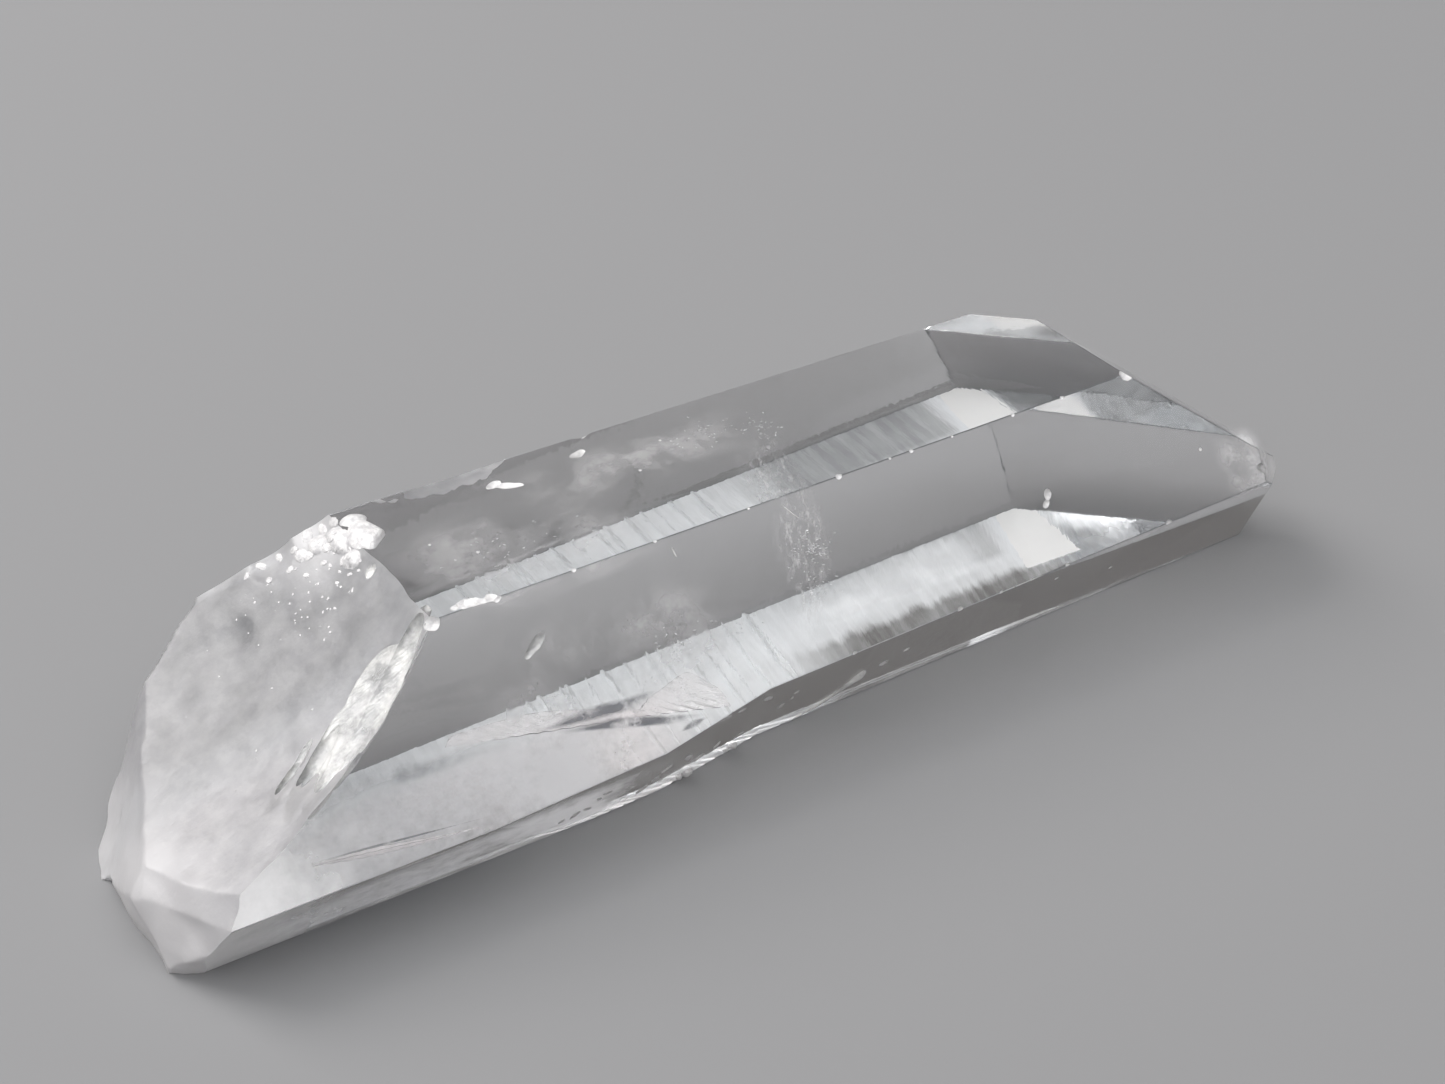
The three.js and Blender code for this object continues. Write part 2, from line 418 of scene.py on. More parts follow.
NICKS = [  # centre, radius
    ((-4.6, 6.6, 15.4), 1.0),
    ((24.6, -5.1, 15.0), 0.5),
    ((5.1, -4.75, 14.87), 0.2),
    ((9.8, -4.84, 14.87), 0.14),
    ((8.4, -4.82, 14.87), 0.09),
    ((16.6, -4.96, 14.87), 0.13),
    ((20.0, -5.02, 14.87), 0.12),
    ((-0.6, -4.65, 14.87), 0.1),
    ((-6.3, -4.55, 14.87), 0.12),
    ((-11.1, -4.46, 14.87), 0.16),
    ((12.5, -4.88, 14.87), 0.09),
    ((3.2, -9.46, 6.69), 0.16),
    ((10.2, -9.5, 6.83), 0.2),
    ((13.0, -9.52, 6.89), 0.14),
    ((13.9, -9.52, 6.91), 0.1),
    ((15.1, -9.53, 6.94), 0.13),
    ((17.6, -9.54, 6.99), 0.16),
    ((24.9, -9.58, 7.14), 0.22),
    ((6.65, -7.4, 3.2), 0.3),
    ((7.9, -7.85, 3.9), 0.22),
    ((17.6, -8.7, 5.5), 0.14),
    ((22.6, -7.57, 3.6), 0.14),
    ((28.2, -7.97, 10.1), 0.12),
    ((-14.5, -0.45, 14.87), 0.12),
    ((-16.3, 1.45, 14.87), 0.1),
    ((-15.8, -0.45, 14.87), 0.09),
    ((-3.6, 1.45, 14.87), 0.1),
    ((-1.2, 3.35, 14.87), 0.09),
]
for centre, way, normal, half_sizes, finish in SCARS:
    way = Vector(way)
    way = (way - normal * way.dot(normal) / normal.length_squared).normalized()
    turned = laid_along(way, normal.normalized(), half_sizes)
    tool = scoop(centre, 1.0, half_sizes[2] * 0.9, finish, turned)
    roughen(tool, 0, half_sizes[2] * 0.8)
    carve(crystal, tool)
for centre, radius in NICKS:
    bpy.ops.mesh.primitive_ico_sphere_add(subdivisions=2, radius=radius, location=centre)
    nick = bpy.context.object
    nick.rotation_euler = (centre[0], centre[1], 0)
    set_in_place(nick)
    nick.data.materials.append(bruised_quartz)
    carve(crystal, nick)


# ---- The white knob and the ridge ----------------------------------------------------
# At the top of the break the blow left a knob of crushed, white quartz. Low on the front,
# a thin hooked ridge of late growth stands on the lower face.

KNOB_LUMPS = [  # centre, half sizes
    ((-18.5, 4.1, 14.3), (1.2, 1.8, 0.95)),
    ((-18.7, 5.5, 14.3), (1.0, 0.75, 0.8)),
    ((-19.4, 4.9, 14.1), (1.0, 1.3, 0.75)),
    ((-19.6, 3.2, 14.0), (0.8, 0.75, 0.6)),
    ((-20.4, 5.9, 13.55), (0.7, 0.75, 0.55)),
    ((-21.2, 6.3, 13.05), (0.6, 0.6, 0.4)),
]
KNOB_FACET = Vector((-17.55, 4.1, 14.6)), Vector((0.9, -0.3, 0.3))  # its flat bright side
RIDGE = [  # how far along, height, half width
    (1.5, 0.1, 0.05),
    (2.5, 0.5, 0.11),
    (3.4, 1.1, 0.14),
    (4.15, 1.75, 0.14),
    (4.7, 2.4, 0.17),
    (5.0, 2.85, 0.26),
    (5.15, 3.1, 0.3),
    (5.3, 3.35, 0.12),
]

CHUNK_SIDES = 6
knob_dice = random.Random(5)


def lump(centre, half_sizes, finish, ripple):
    """A crushed chunk: a rippled ball, broken off flat on many sides."""
    ball = scoop(centre, 1.0, 0, finish, Matrix.Diagonal((*half_sizes, 1)))
    roughen(ball, ripple, ripple * 0.5, ripple)
    for _ in range(CHUNK_SIDES):
        way = Vector(knob_dice.uniform(-1, 1) for _ in range(3)).normalized()
        reach = Vector(w * half for w, half in zip(way, half_sizes)) * knob_dice.uniform(0.74, 0.92)
        cut_face(ball, Vector(centre) + reach, way)
    return ball


for centre, half_sizes in KNOB_LUMPS:
    knob = lump(centre, half_sizes, bruised_quartz, min(half_sizes) * 0.12)
    cut_face(knob, *KNOB_FACET)
    carve(crystal, knob, "UNION")

bpy.ops.curve.primitive_nurbs_path_add()
ridge = bpy.context.object
ridge.data.splines.clear()
ridge_line = ridge.data.splines.new("NURBS")
ridge_line.points.add(len(RIDGE) - 1)
for knot, (along, height, half_width) in zip(ridge_line.points, RIDGE):
    _, on_face, _, _ = crystal.ray_cast((along, -20, height), (0, 1, 0))
    knot.co = (*on_face, 1)
    knot.radius = half_width
ridge_line.use_endpoint_u = True
ridge.data.bevel_depth = 1.0
ridge.data.bevel_resolution = 5
ridge.data.use_fill_caps = True
pick(ridge)
bpy.ops.object.convert(target="MESH")
ridge = bpy.context.object
ridge.matrix_world = Matrix.Identity(4)
ridge.data.materials.append(clean_quartz)
carve(crystal, ridge, "UNION")

# ---- The feather crack -----------------------------------------------------------
# An old crack inside, under the front upper face: a thin gap of air with a leaf-shaped
# outline, finely ribbed, and a long tail back toward the break.

CRACKS = [  # corners: near left, near right, far right, far left; then depth of the ribs, gap
    (((-9.6, -7.0, 6.3), (-4.2, -7.9, 5.3), (-4.6, -6.3, 6.9), (-7.4, -6.2, 7.6)), 0.07, 0.04),
    (((-19.8, -5.2, 7.6), (-8.8, -7.2, 6.2), (-9.4, -6.7, 7.1), (-19.0, -4.8, 8.6)), 0.05, 0.04),
    (((-30.2, -7.2, 5.6), (-19.6, -8.4, 4.4), (-19.7, -8.3, 4.55), (-30.0, -7.1, 5.75)), 0.03, 0.03),
]
ribs = relief("ribs", "WOOD", wood_type="BANDNOISE", noise_scale=0.3, turbulence=1.6)


def crack(corners, rib_depth, gap):
    """A thin gap between four corners: near left, near right, far right, far left."""
    near_left, near_right, far_right, far_left = (Vector(corner) for corner in corners)
    bpy.ops.mesh.primitive_grid_add(x_subdivisions=70, y_subdivisions=24, size=1)
    sheet = bpy.context.object
    for vertex in sheet.data.vertices:
        u, v = vertex.co.x + 0.5, vertex.co.y + 0.5
        v *= 0.35 + 0.65 * math.sin(math.pi * min(max(u, 0.0), 1.0)) ** 0.6  # the leaf's outline
        sag = 0.35 * math.sin(math.pi * u) * math.sin(math.pi * v)
        place = near_left.lerp(near_right, u).lerp(far_left.lerp(far_right, u), v)
        vertex.co = place - Vector((0, 0, sag))
    fit_modifier(sheet, "DISPLACE", texture=ribs, strength=rib_depth, texture_coords="LOCAL")
    fit_modifier(sheet, "SOLIDIFY", thickness=gap, offset=0.0)
    open_mesh(sheet)
    bpy.ops.mesh.normals_make_consistent(inside=False)
    close_mesh()
    sheet.data.materials.append(clear_quartz)
    return sheet


for corners, rib_depth, gap in CRACKS:
    carve(crystal, crack(corners, rib_depth, gap))


# ---- Brought to scale and to its place -----------------------------------------------
# Millimetres become metres, and the crystal is set over the middle of its footprint. Three
# lines are cut into the resting face round its milky part, and the break is rubbed soft.

MILKY_FROM, MILKY_NORMAL = Vector((19.4, 0, 0)), Vector((1, -0.12, 0)).normalized()
MILKY_TO, MILKY_END_NORMAL = Vector((23.3, 0, 0)), Vector((1, 0.1, 0)).normalized()
MILKY_SIDE, MILKY_SIDE_NORMAL = Vector((0, 1.5, 0)), Vector((0.05, 1, 0)).normalized()

bpy.data.objects.remove(blow_mark, do_unlink=True)
MILKY_EDGES = (
    (MILKY_FROM, MILKY_NORMAL),
    (MILKY_TO, MILKY_END_NORMAL),
    (MILKY_SIDE, MILKY_SIDE_NORMAL),
)
for place, line_normal in MILKY_EDGES:
    open_mesh(crystal)
    bpy.ops.mesh.bisect(plane_co=place, plane_no=line_normal, threshold=1e-5)
    close_mesh()
open_mesh(crystal)
bpy.ops.mesh.remove_doubles(threshold=0.0005)
bpy.ops.mesh.normals_make_consistent(inside=False)
close_mesh()
FROSTED = crystal.data.materials.find("frosted_quartz")
kept_faces = [face for face in crystal.data.polygons if face.material_index != FROSTED]
held = {corner for face in kept_faces for corner in face.vertices}
free = [vertex.index for vertex in crystal.data.vertices if vertex.index not in held]
crystal.vertex_groups.new(name="rubbed").add(free, 1.0, "REPLACE")
fit_modifier(crystal, "SMOOTH", factor=0.5, iterations=16, vertex_group="rubbed")
crystal.vertex_groups.clear()
TO_METRES = Matrix.Scale(0.001, 4) @ Matrix.Translation(SEAT)
crystal.data.transform(TO_METRES)
pick(crystal)
bpy.ops.object.shade_smooth_by_angle(angle=math.radians(60))


# ---- Finishes of the quartz --------------------------------------------------------
# Glassy growth faces, a satin resting face whose haze is drawn out in cross bands, a frosted
# break, bright flutes, and chips crushed white. All share one colourless, see-through body.

QUARTZ_IOR = 1.548
BODY_TINT = (0.70, 0.75, 0.78)
BODY_DENSITY = 12.0  # per metre
PER_MILLIMETRE = (1000.0, 1000.0, 1000.0)

satin_quartz = bpy.data.materials.new("satin_quartz")
milky_quartz = bpy.data.materials.new("milky_quartz")


class Finish:
    """A material made of one Principled shader and the patterns that feed it."""

    def __init__(self, material, **values):
        material.use_nodes = True
        self.tree = material.node_tree
        self.shader = self.tree.nodes["Principled BSDF"]
        self.shader.inputs["IOR"].default_value = QUARTZ_IOR
        for socket, value in values.items():
            self.shader.inputs[socket.replace("_", " ").title()].default_value = value
        self.place = self.stretched(PER_MILLIMETRE, self.new("TexCoord").outputs["Object"])

    def new(self, kind, **settings):
        node = self.tree.nodes.new("ShaderNode" + kind)
        for key, value in settings.items():
            setattr(node, key, value)
        return node

    def feed(self, output, socket):
        self.tree.links.new(output, self.shader.inputs[socket])

    def stretched(self, scale, vector=None):
        """Position in millimetres, stretched along the axes."""
        node = self.new("Mapping")
        node.inputs["Scale"].default_value = scale
        self.tree.links.new(vector or self.place, node.inputs["Vector"])
        return node.outputs["Vector"]

    def noise(self, scale, detail=3.0, rough=0.5, stretch=None):
        """Cloudy noise, from 0 to 1, that repeats about this many times in a millimetre."""
        node = self.new("TexNoise")
        node.inputs["Scale"].default_value = scale
        node.inputs["Detail"].default_value = detail
        node.inputs["Roughness"].default_value = rough
        where = self.stretched(stretch) if stretch else self.place
        self.tree.links.new(where, node.inputs["Vector"])
        return node.outputs["Fac"]

    def graded(self, value, low, high, to_low=0.0, to_high=1.0):
        """Runs softly from one value to another while the input goes from low to high."""
        node = self.new("MapRange", interpolation_type="SMOOTHSTEP")
        ends = {"From Min": low, "From Max": high, "To Min": to_low, "To Max": to_high}
        for socket, number in ends.items():
            node.inputs[socket].default_value = number
        self.tree.links.new(value, node.inputs["Value"])
        return node.outputs["Result"]

    def sum_of(self, first, second, how="ADD"):
        """Adds, or otherwise combines, two values or a value and a number."""
        node = self.new("Math", operation=how)
        for slot, term in enumerate((first, second)):
            if isinstance(term, (int, float)):
                node.inputs[slot].default_value = term
            else:
                self.tree.links.new(term, node.inputs[slot])
        return node.outputs["Value"]

    def along(self, way):
        """How far a point lies along a direction, in millimetres."""
        node = self.new("VectorMath", operation="DOT_PRODUCT")
        node.inputs[1].default_value = way
        self.tree.links.new(self.place, node.inputs[0])
        return node.outputs["Value"]

    def tinted(self, value, dark, light):
        node = self.new("Mix", data_type="RGBA")
        colours = [socket for socket in node.inputs if socket.type == "RGBA"]
        colours[0].default_value, colours[1].default_value = (*dark, 1), (*light, 1)
        self.tree.links.new(value, node.inputs["Factor"])
        self.feed([socket for socket in node.outputs if socket.type == "RGBA"][0], "Base Color")

    def near(self, point, reach, full=0.0):
        """1 at a point in millimetres, falling to 0 at this reach from it."""
        node = self.new("VectorMath", operation="DISTANCE")
        node.inputs[1].default_value = point
        self.tree.links.new(self.place, node.inputs[0])
        return self.graded(node.outputs["Value"], full, reach, 1.0, 0.0)

    def bumped(self, value, distance):
        node = self.new("Bump")
        node.inputs["Distance"].default_value = distance
        self.tree.links.new(value, node.inputs["Height"])
        self.feed(node.outputs["Normal"], "Normal")

    def absorb(self):
        node = self.new("VolumeAbsorption")
        node.inputs["Color"].default_value = (*BODY_TINT, 1)
        node.inputs["Density"].default_value = BODY_DENSITY
        self.tree.links.new(node.outputs["Volume"], self.tree.nodes["Material Output"].inputs["Volume"])


clear = Finish(clear_quartz, base_color=(0.96, 0.95, 0.955, 1))
along = clear.sum_of(clear.along((1, 0, 0.3)), clear.sum_of(clear.noise(0.35, 5, 0.6), 9.0, "MULTIPLY"))
mist = clear.graded(along, -29.0, -17.0, 0.72, 0.0)
tip_mist = clear.sum_of(clear.near((33.8, -8.6, 6.8), 4.0), 0.45, "MULTIPLY")
mist = clear.sum_of(mist, tip_mist, "MAXIMUM")
clear.feed(clear.sum_of(1.0, mist, "SUBTRACT"), "Transmission Weight")
dulled = clear.graded(clear.noise(0.9, 4), 0.35, 0.8, 0.0, 0.03)
clear.feed(clear.sum_of(dulled, clear.sum_of(mist, 0.3, "MULTIPLY")), "Roughness")
growth = clear.noise(0.8, 2, stretch=(2.0, 0.5, 0.5))
growth = clear.sum_of(growth, clear.noise(3.0, 2, stretch=(1.2, 0.3, 0.3)))
clear.bumped(growth, 0.000006)

worn = Finish(worn_quartz, base_color=(0.95, 0.95, 0.95, 1), transmission_weight=0.97, roughness=0.08)

satin = Finish(satin_quartz)
east, north = satin.along((1, 0, 0)), satin.along((0, 1, 0))
clouds = satin.noise(0.28, 4, 0.55, stretch=(1.0, 0.7, 1))
bands = satin.noise(1.8, 3, 0.6, stretch=(1.0, 0.06, 1))
strokes = satin.sum_of(satin.noise(0.9, 4, 0.6, stretch=(1, 0.15, 1)), 2.2, "MULTIPLY")
clear_strip = satin.graded(satin.sum_of(north, strokes), 1.0, 2.1, 0.7, 0.0)
clear_strip = satin.sum_of(clear_strip, satin.graded(east, 2.0, 6.5), "MULTIPLY")
clear_end = satin.graded(east, 22.6, 23.6, 0.0, 0.72)
dull_back = satin.graded(east, 18.4, 19.5, 0.42, 0.0)
dull_back = satin.sum_of(dull_back, satin.graded(east, 5.0, 8.5), "MULTIPLY")
dull_back = satin.sum_of(dull_back, satin.graded(north, 1.9, 2.9), "MULTIPLY")
milky_middle = satin.graded(east, 0.0, 9.0, 1.0, 0.0)
milky_middle = satin.sum_of(milky_middle, satin.graded(east, -12.0, -2.0), "MULTIPLY")
milky_left = satin.graded(east, -8.0, -3.0, 1.0, 0.0)
milky_left = satin.sum_of(milky_left, satin.graded(north, 1.0, 3.0, 1.0, 0.0), "MULTIPLY")
haze = satin.sum_of(satin.graded(clouds, 0.3, 0.7, 0.78, 0.9), satin.graded(bands, 0.35, 0.7, -0.06, 0.10))
haze = satin.sum_of(haze, satin.sum_of(milky_middle, 0.14, "MULTIPLY"))
haze = satin.sum_of(haze, satin.sum_of(milky_left, 0.14, "MULTIPLY"))
haze = satin.sum_of(haze, satin.sum_of(clear_strip, satin.sum_of(clear_end, dull_back)), "SUBTRACT")
satin.feed(satin.sum_of(1.0, haze, "SUBTRACT"), "Transmission Weight")
satin.tinted(milky_left, (0.96, 0.975, 0.985), (1.0, 0.965, 0.965))
satin.feed(satin.graded(clouds, 0.35, 0.65, 0.06, 0.24), "Roughness")
satin.bumped(satin.noise(2.4, 3, stretch=(1.0, 0.05, 1.0)), 0.00001)

milky = Finish(milky_quartz, base_color=(1.0, 0.99, 0.97, 1), transmission_weight=0.03)
milky.feed(milky.graded(milky.noise(0.9, 4), 0.35, 0.65, 0.12, 0.22), "Roughness")
milky.bumped(milky.noise(1.2, 2), 0.00001)

frosted = Finish(frosted_quartz, roughness=0.42)
foot = frosted.graded(frosted.along((1, 0, 0.35)), -34.5, -28.5, 1.0, 0.0)
rim = frosted.near((-20.5, 5.6, 13.6), 4.2, 0.8)
pale = frosted.sum_of(foot, rim, "MAXIMUM")
mottle = frosted.graded(frosted.noise(1.3, 6, 0.62), 0.3, 0.75)
frosted.tinted(frosted.sum_of(mottle, pale, "MAXIMUM"), (0.54, 0.53, 0.55), (0.66, 0.65, 0.66))
cloud = frosted.graded(frosted.noise(0.5, 4, 0.55), 0.3, 0.7, 0.8, 0.68)
frosted.feed(frosted.sum_of(cloud, frosted.sum_of(pale, 0.3, "MULTIPLY"), "SUBTRACT"), "Transmission Weight")
hackle = frosted.noise(1.1, 4, 0.6, stretch=(0.35, 1.6, 0.35))
frosted.bumped(frosted.sum_of(hackle, frosted.sum_of(frosted.noise(3.0, 3, 0.5), 0.6, "MULTIPLY")), 0.000025)

clean = Finish(clean_quartz)
clean.tinted(clean.graded(clean.noise(0.8, 4, 0.6), 0.35, 0.65), (0.68, 0.67, 0.67), (0.82, 0.81, 0.79))
clean.feed(clean.graded(clean.noise(0.7, 4, 0.6), 0.35, 0.65, 0.3, 0.7), "Transmission Weight")
clean.feed(clean.graded(clean.noise(1.3, 4), 0.3, 0.7, 0.12, 0.24), "Roughness")
clean.bumped(clean.noise(1.5, 4, 0.6, stretch=(0.4, 2.2, 1.0)), 0.00012)

bruised = Finish(bruised_quartz, transmission_weight=0.1, roughness=0.4)
bruised.tinted(bruised.graded(bruised.noise(3.0, 5, 0.6), 0.35, 0.65), (0.56, 0.55, 0.56), (0.74, 0.73, 0.73))
bruised.bumped(bruised.noise(3.5, 4, 0.6), 0.0001)

for finish in (clear, worn, satin, milky, frosted, clean, bruised):
    finish.absorb()

slots = crystal.data.materials
slots.append(satin_quartz)
slots.append(milky_quartz)
for face in crystal.data.polygons:
    if slots[face.material_index] not in (clear_quartz, worn_quartz):
        continue
    face.use_smooth = False
    middle = TO_METRES.inverted() @ face.center
    if middle.z < 0.2 and face.normal.z < -0.6 and slots[face.material_index] == clear_quartz:
        past_start = (middle - MILKY_FROM).dot(MILKY_NORMAL) > 0
        past_end = (middle - MILKY_TO).dot(MILKY_END_NORMAL) > 0
        past_side = (middle - MILKY_SIDE).dot(MILKY_SIDE_NORMAL) > 0
        in_patch = past_start and past_side and not past_end
        face.material_index = slots.find("milky_quartz" if in_patch else "satin_quartz")

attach(crystal, "root")
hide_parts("crystal")


# ---- Veils and haze in the crystal -------------------------------------------------
# Healed cracks and wisps sealed in the quartz, thin as smoke. Under the front face, dark sheets follow the
# open crack;
# their dark colour is painted reflection of the dark surroundings that the crack mirrors. Each is a wavy
# sheet that fades out toward its rim.

# The dark colour is painted reflection: it stands for the dark surroundings that the open crack mirrors, not
# a colour of the quartz.
PALE, DARK_REFLECTION = (0.98, 0.97, 0.98, 1), (0.15, 0.16, 0.19, 1)
VEILS = [  # name, colour, how strong, how fine its wisps, clear gaps, wave in mm, fade, four corners
    (
        "veil_middle", PALE, 0.75, 1.1, 0.4, 0.5, 0.35,
        ((1.7, -6.9, 4.5), (4.1, -6.9, 12.4), (5.8, 3.4, 14.2), (3.6, 5.2, 5.5)),
    ),
    (
        "veil_top", PALE, 0.42, 0.4, 0.36, 0.5, 0.45,
        ((-13.0, 0.8, 12.6), (6.6, 0.6, 12.4), (6.8, 6.9, 11.2), (-12.5, 7.0, 12.6)),
    ),
    (
        "haze_front", PALE, 0.45, 0.25, 0.34, 0.6, 0.35,
        ((-21.5, -7.7, 6.8), (0.0, -8.4, 6.6), (-0.6, -4.0, 12.8), (-18.5, -3.4, 12.8)),
    ),
    (
        "haze_left", PALE, 0.45, 0.24, 0.36, 0.6, 0.35,
        ((-21.0, -3.4, 12.0), (-3.0, -3.8, 13.0), (-3.6, 5.6, 11.8), (-20.4, 5.6, 11.0)),
    ),
    (
        "haze_tip", PALE, 0.7, 0.5, 0.34, 0.2, 0.35,
        ((29.5, -9.3, 6.2), (34.0, -8.9, 6.2), (33.6, -6.6, 9.4), (29.0, -6.6, 10.4)),
    ),
    (
        "milk_foot", PALE, 1.0, 0.16, 0.28, 0.2, 0.12,
        ((-34.2, -6.4, 0.3), (-1.5, -6.2, 0.3), (-4.0, -0.6, 4.4), (-31.5, -0.6, 4.4)),
    ),
    # The crack sheets below carry the dark colour: painted reflection of the surroundings that the open crack
    # mirrors.
    (
        "crack_upper_painted_reflection", DARK_REFLECTION, 0.85, 0.9, 0.24, 0.05, 0.3,
        ((-16.3, -7.8, 8.4), (-10.0, -8.3, 7.6), (-7.2, -8.0, 8.2), (-12.9, -7.6, 8.7)),
    ),
    (
        "crack_lower_painted_reflection", DARK_REFLECTION, 0.9, 0.9, 0.24, 0.03, 0.28,
        ((-15.2, -7.9, 8.1), (-7.8, -9.05, 6.35), (-5.6, -9.2, 6.3), (-11.4, -8.1, 7.95)),
    ),
    (
        "crack_end_painted_reflection", DARK_REFLECTION, 0.85, 0.9, 0.24, 0.02, 0.3,
        ((-8.1, -9.3, 6.0), (-6.8, -9.3, 5.9), (-6.0, -9.2, 6.25), (-7.0, -9.1, 6.45)),
    ),
    (
        "crack_tail_painted_reflection", DARK_REFLECTION, 0.5, 0.45, 0.34, 0.1, 0.4,
        ((-30.0, -7.1, 8.6), (-21.5, -7.8, 8.1), (-15.7, -7.8, 8.2), (-25.6, -6.7, 9.7)),
    ),
    (
        "crack_line_painted_reflection", DARK_REFLECTION, 0.8, 0.9, 0.26, 0.02, 0.3,
        ((-30.5, -8.5, 6.65), (-23.4, -9.05, 5.95), (-17.3, -9.4, 5.35), (-25.8, -8.8, 6.35)),
    ),
]


def fading(name, colour, strength, fineness, gaps, fade):
    """Wisps that thin out toward the sheet's rim and between the clouds: pale haze, or dark painted
    reflection on the crack sheets.
    """
    material = bpy.data.materials.new(name)
    wisp = Finish(material, base_color=colour, roughness=0.9)
    wisp.shader.inputs["IOR"].default_value = 1.0
    split = wisp.new("SeparateXYZ")
    wisp.tree.links.new(wisp.new("TexCoord").outputs["UV"], split.inputs["Vector"])
    rim = None
    for axis in ("X", "Y"):
        rise = wisp.graded(split.outputs[axis], 0.0, fade)
        fall = wisp.graded(split.outputs[axis], 0.65, 1.0, 1.0, 0.0)
        both = wisp.sum_of(rise, fall, "MULTIPLY")
        rim = both if rim is None else wisp.sum_of(rim, both, "MULTIPLY")
    cloud = wisp.graded(wisp.noise(fineness, 6, 0.62), gaps, gaps + 0.32, 0.0, strength)
    wisp.feed(wisp.sum_of(cloud, rim, "MULTIPLY"), "Alpha")
    return material


for name, colour, strength, fineness, gaps, wave, fade, corners in VEILS:
    near_left, near_right, far_right, far_left = (Vector(corner) for corner in corners)
    bpy.ops.object.select_all(action="DESELECT")
    bpy.ops.mesh.primitive_grid_add(x_subdivisions=40, y_subdivisions=30, size=1)
    veil = bpy.context.object
    veil.name = name
    for vertex in veil.data.vertices:
        u, v = vertex.co.x + 0.5, vertex.co.y + 0.5
        vertex.co = near_left.lerp(near_right, u).lerp(far_left.lerp(far_right, u), v)
    fit_modifier(veil, "DISPLACE", texture=swell, strength=wave, texture_coords="LOCAL")
    veil.data.transform(TO_METRES)
    veil.data.materials.append(fading(name, colour, strength, fineness, gaps, fade))
    pick(veil)
    bpy.ops.object.shade_smooth_by_angle(angle=math.radians(60))
    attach(veil, "root")

# ---- Sparkles in the veil ------------------------------------------------------------
# Tiny flat flakes of healed crack that catch the light, in two clusters and a thin scatter.
# Each is a squashed octahedron, and all of them are one mesh.

CLUSTERS = [  # centre, spread, how many
    ((2.6, -5.9, 11.6), (1.2, 0.8, 1.3), 90),
    ((2.2, -6.6, 9.4), (1.3, 0.7, 1.0), 60),
    ((4.6, 2.2, 13.6), (0.8, 1.3, 0.7), 55),
    ((1.5, 3.5, 13.2), (2.5, 1.6, 0.8), 40),
    ((-6.0, -6.6, 9.6), (2.8, 1.0, 1.4), 45),
    ((-3.0, -6.4, 8.8), (1.6, 0.7, 0.9), 45),
    ((-12.0, 0.5, 13.0), (3.2, 2.4, 0.7), 35),
]
FLAKE_SHAPE = (1, 0.35, 0.2)  # long, narrow and flat
sparkle_dice = random.Random(7)


def gathered(pieces, name, finish, crease):
    """Joins the pieces into one with this finish, sharp where it turns by more than the crease."""
    pick(pieces[0])
    for other in pieces:
        other.select_set(True)
    bpy.ops.object.join()
    piece = bpy.context.object
    piece.name = name
    piece.data.materials.clear()
    piece.data.materials.append(finish)
    bpy.ops.object.shade_smooth_by_angle(angle=math.radians(crease))
    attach(piece, "root")


bpy.ops.object.select_all(action="DESELECT")
bpy.ops.mesh.primitive_uv_sphere_add(segments=4, ring_count=2, radius=1, scale=FLAKE_SHAPE)
flake = set_in_place(bpy.context.object)
flakes_laid = []
for centre, spread, count in CLUSTERS:
    for _ in range(count):
        place = Vector(c + sparkle_dice.gauss(0, 0.5) * s for c, s in zip(centre, spread))
        size = sparkle_dice.uniform(0.035, 0.12)
        turn = Matrix.Rotation(sparkle_dice.uniform(0, 6.28), 4, "Z")
        tilt = Matrix.Rotation(sparkle_dice.uniform(0, 3.14), 4, "X")
        another = flake.copy()
        another.data = flake.data.copy()
        another.data.transform(TO_METRES @ Matrix.Translation(place) @ turn @ tilt @ Matrix.Scale(size, 4))
        bpy.context.scene.collection.objects.link(another)
        flakes_laid.append(another)
bpy.data.objects.remove(flake, do_unlink=True)
sparkle_white = bpy.data.materials.new("sparkle_white")
Finish(sparkle_white, base_color=(0.92, 0.93, 0.95, 1), roughness=0.25)
gathered(flakes_laid, "veil_sparkles", sparkle_white, 0)

# ---- Crumbs on the rim and the lower edge -------------------------------------------
# Crushed grains still held along the top of the break, and small plates of quartz that cling
# to the front's lower edge. Each is a low lump set half into the surface under it.

